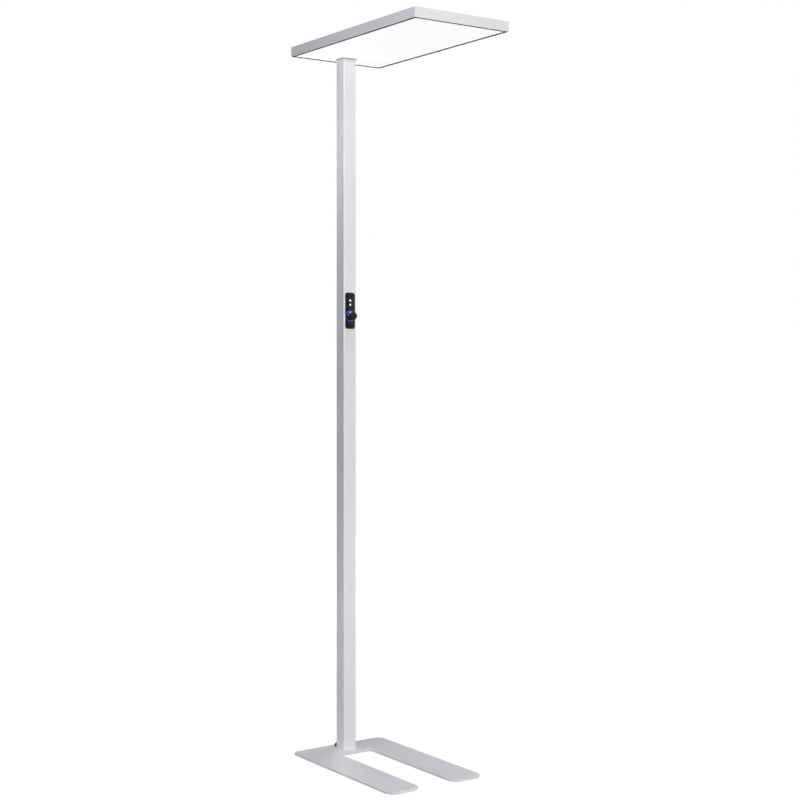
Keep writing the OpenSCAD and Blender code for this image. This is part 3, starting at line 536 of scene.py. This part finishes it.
# ---- Cable outlet ----
# A moulded hood of black plastic at the column's back foot, screwed on from behind. The
# mains lead enters through its round bore. Its mould edges are soft, its skin is spark-eroded.
low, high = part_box("cable_outlet")
hood_r = 4 * mm
hood_foot_r = 0.3 * mm
cord_bore = 3.6 * mm
hood_screw_bore = 1.35 * mm
hood_screw_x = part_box("outlet_screws")[1].x - small_button["head_r"]
hood_edge = 0.35 * mm
coarse_round = 24
even_round = 48
moulding_black = (0.022, 0.022, 0.024)

upright = Matrix.Rotation(pi / 2, 4, "X")


def black_moulding(name, colour, roughness, grain=0.05 * mm):
    """Black plastic from a spark-eroded mould."""
    finish = new_finish(name, colour, sum(roughness) / 2)
    texture = pattern(finish, "Noise", 2600, Detail=2.0)
    wear = pattern(finish, "Noise", 60, Detail=4.0)
    tint(finish, wear, shade(colour, 0.85), shade(colour, 1.2))
    vary(finish, wear, "Roughness", *roughness)
    relief(finish, texture, grain, 0.5)
    return finish


black_plastic = black_moulding("black_moulding", moulding_black, (0.42, 0.55))

bm = bmesh.new()
cord_z = (low.z + high.z) / 2
edges = rounded_outline(bm, (
    (low.x, low.z, hood_foot_r),
    (high.x, low.z, hood_foot_r),
    (high.x, high.z, hood_r),
    (low.x, high.z, hood_r),
), -high.y)
edges += round_hole(bm, 0, cord_z, cord_bore, -high.y, even_round)
for side in (-1, 1):
    edges += round_hole(bm, side * hood_screw_x, cord_z, hood_screw_bore, -high.y, coarse_round)
thicken(bm, fill_sheet(bm, edges), high.y - low.y)
break_edges(bm, sharp_edges(bm, lambda point: point.z < -high.y + hair, steep), hood_edge)
bmesh.ops.transform(bm, matrix=upright, verts=bm.verts[:])
hood = finished("cable_outlet_hood", bm, black_plastic)
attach(hood, "lamp")
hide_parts("cable_outlet")


# ---- Driver, terminals and plugs ----
# The slim driver's case, the terminal block and the connectors are plain white mouldings,
# snapped together and hidden in the column and the head.
moulding_white = (0.78, 0.78, 0.75)

white_plastic = new_finish("white_moulding", moulding_white, 0.45)
flow = pattern(white_plastic, "Noise", 120, Detail=3.0)
tint(white_plastic, flow, shade(moulding_white, 0.96), shade(moulding_white, 1.03))
vary(white_plastic, flow, "Roughness", 0.4, 0.52)
relief(white_plastic, pattern(white_plastic, "Noise", 2200), 0.03 * mm, 0.4)
for name in ("led_driver", "terminal_block", "control_plug", "led_plug", "switch_plunger"):
    nodes[name].material_slots[0].material = white_plastic


# ---- Leads ----
# Round leads with a soft plastic sheath: black for the mains wires and the control lead,
# white for the lead up to the head. Each runs inside the column, held at both ends.
def lead_sheath(name, colour):
    sheath = new_finish(name, colour, 0.5)
    skin = pattern(sheath, "Noise", 700, stretch=(1, 1, 0.2), Detail=2.0)
    tint(sheath, skin, shade(colour, 0.93), shade(colour, 1.07))
    vary(sheath, skin, "Roughness", 0.42, 0.6)
    relief(sheath, skin, 0.05 * mm, 0.5)
    return sheath


for name, colour in (
    ("terminal_lead", (0.025, 0.025, 0.025)),
    ("control_lead", (0.03, 0.03, 0.032)),
    ("head_lead", (0.76, 0.76, 0.74)),
):
    nodes[name].material_slots[0].material = lead_sheath(name + "_sheath", colour)


# ---- Control fascia ----
# The front plate of the control unit, moulded from glossy black plastic; a painted sheen
# makes it lighter towards the right. It has a rounded rim, two lens holes, a groove for the light ring
# and,
# inside that, the encoder's hole.
low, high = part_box("control_fascia")
fascia_front = -low.y
fascia_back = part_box("column")[1].y
fascia_r = 8 * mm
fascia_edge = 1.0 * mm
knob_low, knob_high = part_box("dimmer_knob")
knob_z = (knob_low.z + knob_high.z) / 2
lens_hole = 2.9 * mm
bush_hole = 3.6 * mm
groove_outer = 14.9 * mm
groove_inner = 13.75 * mm
groove_depth = 1 * mm
hole_edge = 0.15 * mm
groove_margin = 0.1 * mm
fine_round = 96
gloss_dark = (0.007, 0.0065, 0.006)
painted_sheen_black = (0.026, 0.0245, 0.0235)


def walls(bm, edges, depth):
    """Extrudes edges along Z; returns the edges at the far end."""
    drawn = bmesh.ops.extrude_edge_only(bm, edges=edges)["geom"]
    verts = [part for part in drawn if isinstance(part, bmesh.types.BMVert)]
    bmesh.ops.translate(bm, vec=(0, 0, depth), verts=verts)
    return [
        part for part in drawn
        if isinstance(part, bmesh.types.BMEdge)
        and len(part.link_faces) == 1
        and all(vert in verts for vert in part.verts)
    ]


lens_places = [sum(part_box(name), Vector()).z / 2 for name in ("motion_lens", "daylight_lens")]
bm = bmesh.new()
rim = rounded_outline(bm, (
    (low.x, low.z, fascia_r),
    (high.x, low.z, fascia_r),
    (high.x, high.z, fascia_r),
    (low.x, high.z, fascia_r),
), fascia_front)
lens_rims = [round_hole(bm, 0, z, lens_hole, fascia_front, even_round) for z in lens_places]
outer_ring = round_hole(bm, 0, knob_z, groove_outer, fascia_front, fine_round)
fill_sheet(bm, rim + outer_ring + lens_rims[0] + lens_rims[1])
inner_ring = round_hole(bm, 0, knob_z, groove_inner, fascia_front, fine_round)
bush_rim = round_hole(bm, 0, knob_z, bush_hole, fascia_front, even_round)
fill_sheet(bm, inner_ring + bush_rim)
groove_floor = walls(bm, outer_ring, -groove_depth) + walls(bm, inner_ring, -groove_depth)
bmesh.ops.bridge_loops(bm, edges=groove_floor)
back = []
for edges in [rim, bush_rim] + lens_rims:
    back += walls(bm, edges, fascia_back - fascia_front)
fill_sheet(bm, back)
bmesh.ops.recalc_face_normals(bm, faces=bm.faces[:])
bmesh.ops.dissolve_limit(bm, angle_limit=radians(coplanar), verts=bm.verts[:], edges=bm.edges[:])
centre_z = (low.z + high.z) / 2


def on_rim(point):
    return (
        point.z > fascia_front - hair
        and (abs(point.x) > high.x - fascia_r or abs(point.y - centre_z) > high.z - centre_z - fascia_r)
        and hypot(point.x, point.y - knob_z) > groove_outer + groove_margin
    )


break_edges(bm, sharp_edges(bm, on_rim, steep), fascia_edge, 5)
break_edges(bm, sharp_edges(bm, lambda point: point.z > fascia_front - hair, steep), hole_edge, 2)
bmesh.ops.transform(bm, matrix=upright, verts=bm.verts[:])

gloss_black = new_finish("gloss_black", gloss_dark, 0.16)
# Painted sheen: the black is painted lighter towards the right edge, as a reflection would make it.
painted_sheen_ramp = pattern(gloss_black, "Gradient", 1 / (high.x - low.x), centre=(low.x, 0, 0))
smears = pattern(gloss_black, "Noise", 45, Detail=5.0, Distortion=0.6)
tint(gloss_black, painted_sheen_ramp, gloss_dark, painted_sheen_black, span=(0.05, 0.95))
vary(gloss_black, smears, "Roughness", 0.12, 0.24)
relief(gloss_black, pattern(gloss_black, "Noise", 350), 0.01 * mm, 0.3)
fascia = finished("control_fascia_plate", bm, gloss_black)
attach(fascia, "lamp")
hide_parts("control_fascia")


# ---- Housing of the control unit ----
# An open-fronted black box behind the fascia, held in the column's opening by two bent
# leaf springs. It carries the circuit board on four posts.
spring_grey = (0.62, 0.62, 0.63)

nodes["control_housing"].material_slots[0].material = black_plastic
nodes["daylight_sensor"].material_slots[0].material = black_plastic
bright_steel = new_finish("bright_steel", spring_grey, 0.25, metallic=1.0)
rolling = pattern(bright_steel, "Noise", 500, stretch=(0.08, 1, 1), Detail=3.0)
tint(bright_steel, rolling, shade(spring_grey, 0.94), shade(spring_grey, 1.04))
vary(bright_steel, rolling, "Roughness", 0.2, 0.34)
relief(bright_steel, rolling, 0.01 * mm, 0.4)
for name in (
    "housing_clips", "encoder_body", "encoder_nut", "encoder_shaft", "switch_dome",
    "motion_sensor", "head_bracket",
):
    nodes[name].material_slots[0].material = bright_steel


# ---- Circuit boards ----
# Glass-fibre boards: the control board has green solder mask over its tracks, the LED
# boards have a white one that throws the light back.
def board_lacquer(name, colour, track_colour, tracks_per_metre):
    lacquer = new_finish(name, colour, 0.3)
    tracks = pattern(lacquer, "Voronoi", tracks_per_metre, distance="CHEBYCHEV")
    tint(lacquer, tracks, colour, track_colour, span=(0.35, 0.45))
    vary(lacquer, tracks, "Roughness", 0.24, 0.36, (0.2, 0.6))
    relief(lacquer, tracks, 0.04 * mm, 0.5)
    return lacquer


green_board = board_lacquer("green_solder_mask", (0.012, 0.11, 0.045), (0.02, 0.17, 0.07), 420)
white_board = board_lacquer("white_solder_mask", (0.82, 0.82, 0.79), (0.74, 0.74, 0.70), 160)
nodes["control_board"].material_slots[0].material = green_board
for name in ("ring_leds", "down_led_boards", "up_led_boards"):
    nodes[name].material_slots[0].material = white_board


# ---- Light ring ----
# A light guide of clear blue-tinted plastic, pressed into the fascia's groove from the
# front. Its posts take the light of six LEDs. It glows bright at the top and deep at the lower left.
ring_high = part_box("light_ring")[1]
ring_outer = ring_high.x
ring_inner = 13.8 * mm
ring_depth = 1 * mm
ring_edge = 0.3 * mm
ring_post_r = 1 * mm
ring_post_circle = 13.65 * mm
ring_post_angles = (0, 45, 135, 180, 225, 315)
ring_fade = 24 * mm
ring_darkest = (-0.85 * ring_outer, -fascia_front, knob_z - 0.5 * ring_outer)
ring_blue = (0.09, 0.24, 0.95)
ring_deep_blue = (0.012, 0.05, 0.42)


def turned(bm, profile, rounding, steps=fine_round):
    """Spins a profile of (radius, height) about +Z; rounding gives radii by point number."""
    verts = [bm.verts.new((radius, 0, height)) for radius, height in profile]
    for first, second in zip(verts, verts[1:]):
        bm.edges.new((first, second))
    if len(set(profile)) < len(profile):
        bmesh.ops.remove_doubles(bm, verts=[verts[0], verts[-1]], dist=weld)
    for index, radius in rounding.items():
        bmesh.ops.bevel(
            bm, geom=[verts[index]], offset=radius, segments=5, profile=0.5, affect="VERTICES", material=-1
        )
    bmesh.ops.spin(
        bm, geom=bm.verts[:] + bm.edges[:], cent=(0, 0, 0), axis=(0, 0, 1), dvec=(0, 0, 0),
        angle=2 * pi, steps=steps, use_merge=True, use_normal_flip=False, use_duplicate=False
    )
    bmesh.ops.remove_doubles(bm, verts=bm.verts[:], dist=weld)
    bmesh.ops.recalc_face_normals(bm, faces=bm.faces[:])


def to_front(bm, depth, height):
    """Stands what was drawn along +Z so that it reaches to the front from a depth."""
    bmesh.ops.transform(
        bm, matrix=Matrix.Translation((0, -depth, height)) @ upright, verts=bm.verts[:]
    )


bm = bmesh.new()
turned(bm, (
    (ring_inner, 0), (ring_outer, 0), (ring_outer, ring_depth), (ring_inner, ring_depth), (ring_inner, 0),
), {2: ring_edge, 3: ring_edge})
to_front(bm, fascia_front - ring_depth, knob_z)
for angle in ring_post_angles:
    place = Vector((cos(radians(angle)), 0, sin(radians(angle)))) * ring_post_circle
    post_length = fascia_front - ring_depth + ring_high.y
    middle = Vector((place.x, ring_high.y - post_length / 2, knob_z + place.z))
    bmesh.ops.create_cone(
        bm, cap_ends=True, segments=16, radius1=ring_post_r, radius2=ring_post_r, depth=post_length,
        matrix=Matrix.Translation(middle) @ upright
    )

blue_guide = new_finish("blue_light_guide", ring_deep_blue, 0.25)
guide_shader = blue_guide.node_tree.nodes["Principled BSDF"]
guide_shader.inputs["Emission Strength"].default_value = 1.0
lower_left = pattern(
    blue_guide, "Gradient", 1 / ring_fade, centre=ring_darkest, gradient_type="SPHERICAL"
)
tint(blue_guide, lower_left, ring_blue, ring_deep_blue, "Emission Color", (0.1, 0.8))
vary(blue_guide, pattern(blue_guide, "Noise", 400), "Roughness", 0.2, 0.32)
light_ring = finished("light_ring_guide", bm, blue_guide)
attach(light_ring, "lamp")
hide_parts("light_ring")


# ---- Dimmer knob ----
# One black moulding with a satin skin: a cap to grip, a wider skirt inside the light ring with
# a bright-cut rim, and a hub that is pushed onto the encoder's shaft.
knob_r = 10.3 * mm
skirt_r = knob_high.x
skirt_h = 5.6 * mm
hollow_r = 10.4 * mm
hollow_h = 3.4 * mm
knob_h = knob_high.y - knob_low.y
shaft_bore = 3.05 * mm
bore_h = 12.9 * mm
skirt_edge = 0.6 * mm
skirt_chamfer = 0.8 * mm
hollow_edge = 0.3 * mm
skirt_foot_edge = 0.4 * mm
cap_root_edge = 0.4 * mm
cap_edge = 0.8 * mm
knob_round = 128
satin_black = (0.013, 0.0127, 0.0124)
cut_grey = (0.22, 0.217, 0.21)

bm = bmesh.new()
turned(bm, (
    (0, bore_h), (shaft_bore, bore_h), (shaft_bore, hollow_h), (hollow_r, hollow_h), (hollow_r, 0),
    (skirt_r, 0), (skirt_r, skirt_h - skirt_chamfer - skirt_edge),
    (skirt_r - skirt_edge, skirt_h - skirt_chamfer), (skirt_r - skirt_edge - skirt_chamfer, skirt_h),
    (knob_r, skirt_h), (knob_r, knob_h), (0, knob_h),
), {4: hollow_edge, 5: skirt_foot_edge, 9: cap_root_edge, 10: cap_edge}, knob_round)
for face in bm.faces:
    middle = face.calc_center_median()
    if hypot(middle.x, middle.y) > knob_r and skirt_h - skirt_chamfer < middle.z < skirt_h:
        face.material_index = 1
to_front(bm, -knob_high.y, knob_z)
knob_skin = black_moulding("satin_black", satin_black, (0.32, 0.42), 0.01 * mm)
knob_skin.node_tree.nodes["Principled BSDF"].inputs["Specular IOR Level"].default_value = 0.16
cut_rim = new_finish("diamond_cut_rim", cut_grey, 0.25, metallic=1.0)
turning = pattern(cut_rim, "Noise", 2500, Detail=2.0)
tint(cut_rim, turning, shade(cut_grey, 0.9), shade(cut_grey, 1.1))
vary(cut_rim, turning, "Roughness", 0.26, 0.36)
knob = finished("dimmer_knob_cap", bm, knob_skin, cut_rim)
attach(knob, "knob")
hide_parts("dimmer_knob")


# ---- Sensor lenses ----
# Two milky white lenses, moulded with a collar that holds them behind the fascia. The
# upper one belongs to the presence sensor, the lower one leads daylight to its sensor.
lens_r = 2.85 * mm
lens_dome = 0.4 * mm
collar_r = 3.75 * mm
collar_h = 0.8 * mm
pipe_r = 2 * mm
wall_back = 18 * mm
milk = (0.86, 0.87, 0.88)

milky = new_finish("milky_lens", milk, 0.22)
milky_shader = milky.node_tree.nodes["Principled BSDF"]
milky_shader.inputs["Subsurface Weight"].default_value = 0.2
milky_shader.inputs["Subsurface Radius"].default_value = (0.002, 0.002, 0.002)
clouding = pattern(milky, "Noise", 300, Detail=2.0)
tint(milky, clouding, shade(milk, 0.97), shade(milk, 1.03))
vary(milky, clouding, "Roughness", 0.18, 0.28)
for name, z in zip(("motion_lens", "daylight_lens"), lens_places):
    back_y = -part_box(name)[1].y
    front = fascia_front - wall_back
    bm = bmesh.new()
    dome = [
        (lens_r * cos(radians(angle)), front + lens_dome * sin(radians(angle)))
        for angle in range(0, 91, 10)
    ]
    turned(bm, [
        (0, back_y - wall_back), (pipe_r, back_y - wall_back), (pipe_r, -collar_h), (collar_r, -collar_h),
        (collar_r, 0), (lens_r, 0),
    ] + dome, {}, even_round)
    to_front(bm, wall_back, z)
    lens = finished(name + "_moulding", bm, milky)
    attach(lens, "lamp")
    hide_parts(name)


# ---- Head rails ----
# Four lengths of one aluminium extrusion, mitred and drawn together by the corner angles.
# Its lip carries the diffuser, its rib the LED tray and its ledge the bracket and the top
# panel. The lip's underside and inner face are painted dark grey: painted shade.
rail_wall = 1.6 * mm
lip_w = 8 * mm
lip_t = 1.2 * mm
rib_w = 7 * mm
rib_t = 1.2 * mm
ledge_t = 1.5 * mm
rail_edge = 0.25 * mm
rail_corner = 0.6 * mm
facing = 0.9
# Painted shade: the dark grey of the lips' underside and inner face, and of the collar.
lip_shade_grey = (0.05, 0.05, 0.054)
low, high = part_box("left_rail")
rib_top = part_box("led_tray")[0].z
ledge_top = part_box("top_panel")[0].z
rail_profile = (
    # depth behind the outer face, height
    (0, low.z), (lip_w, low.z), (lip_w, low.z + lip_t), (rail_wall, low.z + lip_t),
    (rail_wall, rib_top - rib_t), (rib_w, rib_top - rib_t), (rib_w, rib_top), (rail_wall, rib_top),
    (rail_wall, ledge_top - ledge_t), (lip_w, ledge_top - ledge_t), (lip_w, ledge_top),
    (rail_wall, ledge_top), (rail_wall, high.z), (0, high.z),
)


def mitred_rail(length):
    """The extrusion along +X with its outer face at y = 0, cut at 45 degrees at both ends."""
    bm = bmesh.new()
    section = bm.faces.new([bm.verts.new((0, depth, height)) for depth, height in rail_profile])
    drawn = bmesh.ops.extrude_face_region(bm, geom=[section])["geom"]
    far = [part for part in drawn if isinstance(part, bmesh.types.BMVert)]
    bmesh.ops.translate(bm, vec=(length, 0, 0), verts=far)
    for vert in bm.verts:
        vert.co.x += -vert.co.y if vert in far else vert.co.y
    bmesh.ops.recalc_face_normals(bm, faces=bm.faces[:])
    long_edges = [
        edge for edge in bm.edges
        if all(abs(vert.co.y) < hair for vert in edge.verts) and edge.calc_length() > high.z - low.z + hair
    ]
    break_edges(bm, long_edges, rail_corner)
    break_edges(bm, sharp_edges(bm), rail_edge, 2)
    bm.normal_update()
    # Painted shade: faces under the lip and facing in from it take the dark grey coat.
    for face in bm.faces:
        below = face.normal.z < -facing
        inward = face.normal.y > facing
        if face.calc_center_median().z < low.z + lip_t and (below or inward):
            face.material_index = 1
    return bm


# The painted shade coat: the powder coat in the dark grey of the painted shade.
painted_shade_coat = powder_coat("painted_shade_on_lips", lip_shade_grey)
right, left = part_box("right_rail")[1].x, low.x
for name, corner, turn in (
    ("front_rail", (left, low.y), 0),
    ("right_rail", (right, low.y), 90),
    ("rear_rail", (right, high.y), 180),
    ("left_rail", (left, high.y), 270),
):
    bm = mitred_rail(right - left if turn % 180 == 0 else high.y - low.y)
    to_side = Matrix.Translation((*corner, 0)) @ Matrix.Rotation(radians(turn), 4, "Z")
    bmesh.ops.transform(bm, matrix=to_side, verts=bm.verts[:])
    rail = finished(name + "_extrusion", bm, silver_coat, painted_shade_coat)
    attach(rail, "lamp")
    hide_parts(name)


# ---- LED tray ----
# Aluminium sheet with a baked white paint that throws the light down; the LED boards are
# screwed to it, those for the direct light below and those for the indirect light above.
paint_white = (0.84, 0.84, 0.83)

white_paint = new_finish("white_baked_paint", paint_white, 0.4)
paint_peel = pattern(white_paint, "Noise", 1100, Detail=2.0)
tint(white_paint, pattern(white_paint, "Noise", 8), shade(paint_white, 0.98), shade(paint_white, 1.02))
vary(white_paint, paint_peel, "Roughness", 0.36, 0.46)
relief(white_paint, paint_peel, 0.02 * mm, 0.4)
nodes["led_tray"].material_slots[0].material = white_paint


# ---- Diffusers ----
# Sheets of opal acrylic. The lower one lies on the rails' lips, with a square hole for the
# column, and is lit evenly from above; the upper one closes the window in the top panel.
opal = (0.88, 0.89, 0.90)
glow_white = (1.0, 0.99, 0.985)
down_glow = 0.73
up_glow = 0.35


def opal_sheet(name, glow):
    """Acrylic that scatters the light of the LEDs behind it."""
    sheet = new_finish(name, opal, 0.5)
    shader = sheet.node_tree.nodes["Principled BSDF"]
    shader.inputs["Emission Strength"].default_value = glow
    haze = pattern(sheet, "Noise", 5, Detail=1.0)
    tint(sheet, haze, shade(glow_white, 0.985), glow_white, "Emission Color")
    frost = pattern(sheet, "Noise", 1500, Detail=2.0)
    vary(sheet, frost, "Roughness", 0.45, 0.58)
    relief(sheet, frost, 0.02 * mm, 0.4)
    return sheet


nodes["down_diffuser"].material_slots[0].material = opal_sheet("lit_opal", down_glow)
nodes["up_diffuser"].material_slots[0].material = opal_sheet("upper_opal", up_glow)


# ---- Diffuser collar ----
# A thin square frame of aluminium round the column, under the diffuser, painted in the
# lips' dark grey as painted shade. It hides the edge of the hole and the clearance round the column.
low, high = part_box("diffuser_collar")
collar_inner = 20.15 * mm
collar_corner = 1 * mm
collar_edge = 0.3 * mm

bm = bmesh.new()
edges = rounded_outline(bm, [
    (x, y, collar_corner) for x, y in ((low.x, low.y), (high.x, low.y), (high.x, high.y), (low.x, high.y))
], low.z)
edges += rounded_outline(bm, [
    (x, y, 0) for x, y in (
        (-collar_inner, -collar_inner), (collar_inner, -collar_inner),
        (collar_inner, collar_inner), (-collar_inner, collar_inner),
    )
], low.z)
thicken(bm, fill_sheet(bm, edges), high.z - low.z)
break_edges(bm, sharp_edges(bm, lambda point: point.z < low.z + hair, steep), collar_edge, 2)
# Painted shade: the collar takes the lips' dark grey coat.
collar = finished("diffuser_collar_frame", bm, painted_shade_coat)
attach(collar, "lamp")
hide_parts("diffuser_collar")


# ---- Top panel ----
# Aluminium sheet, coated like the rails and screwed down onto their ledges. It lies flush
# with the rails and has the window for the indirect light.
nodes["top_panel"].material_slots[0].material = silver_coat
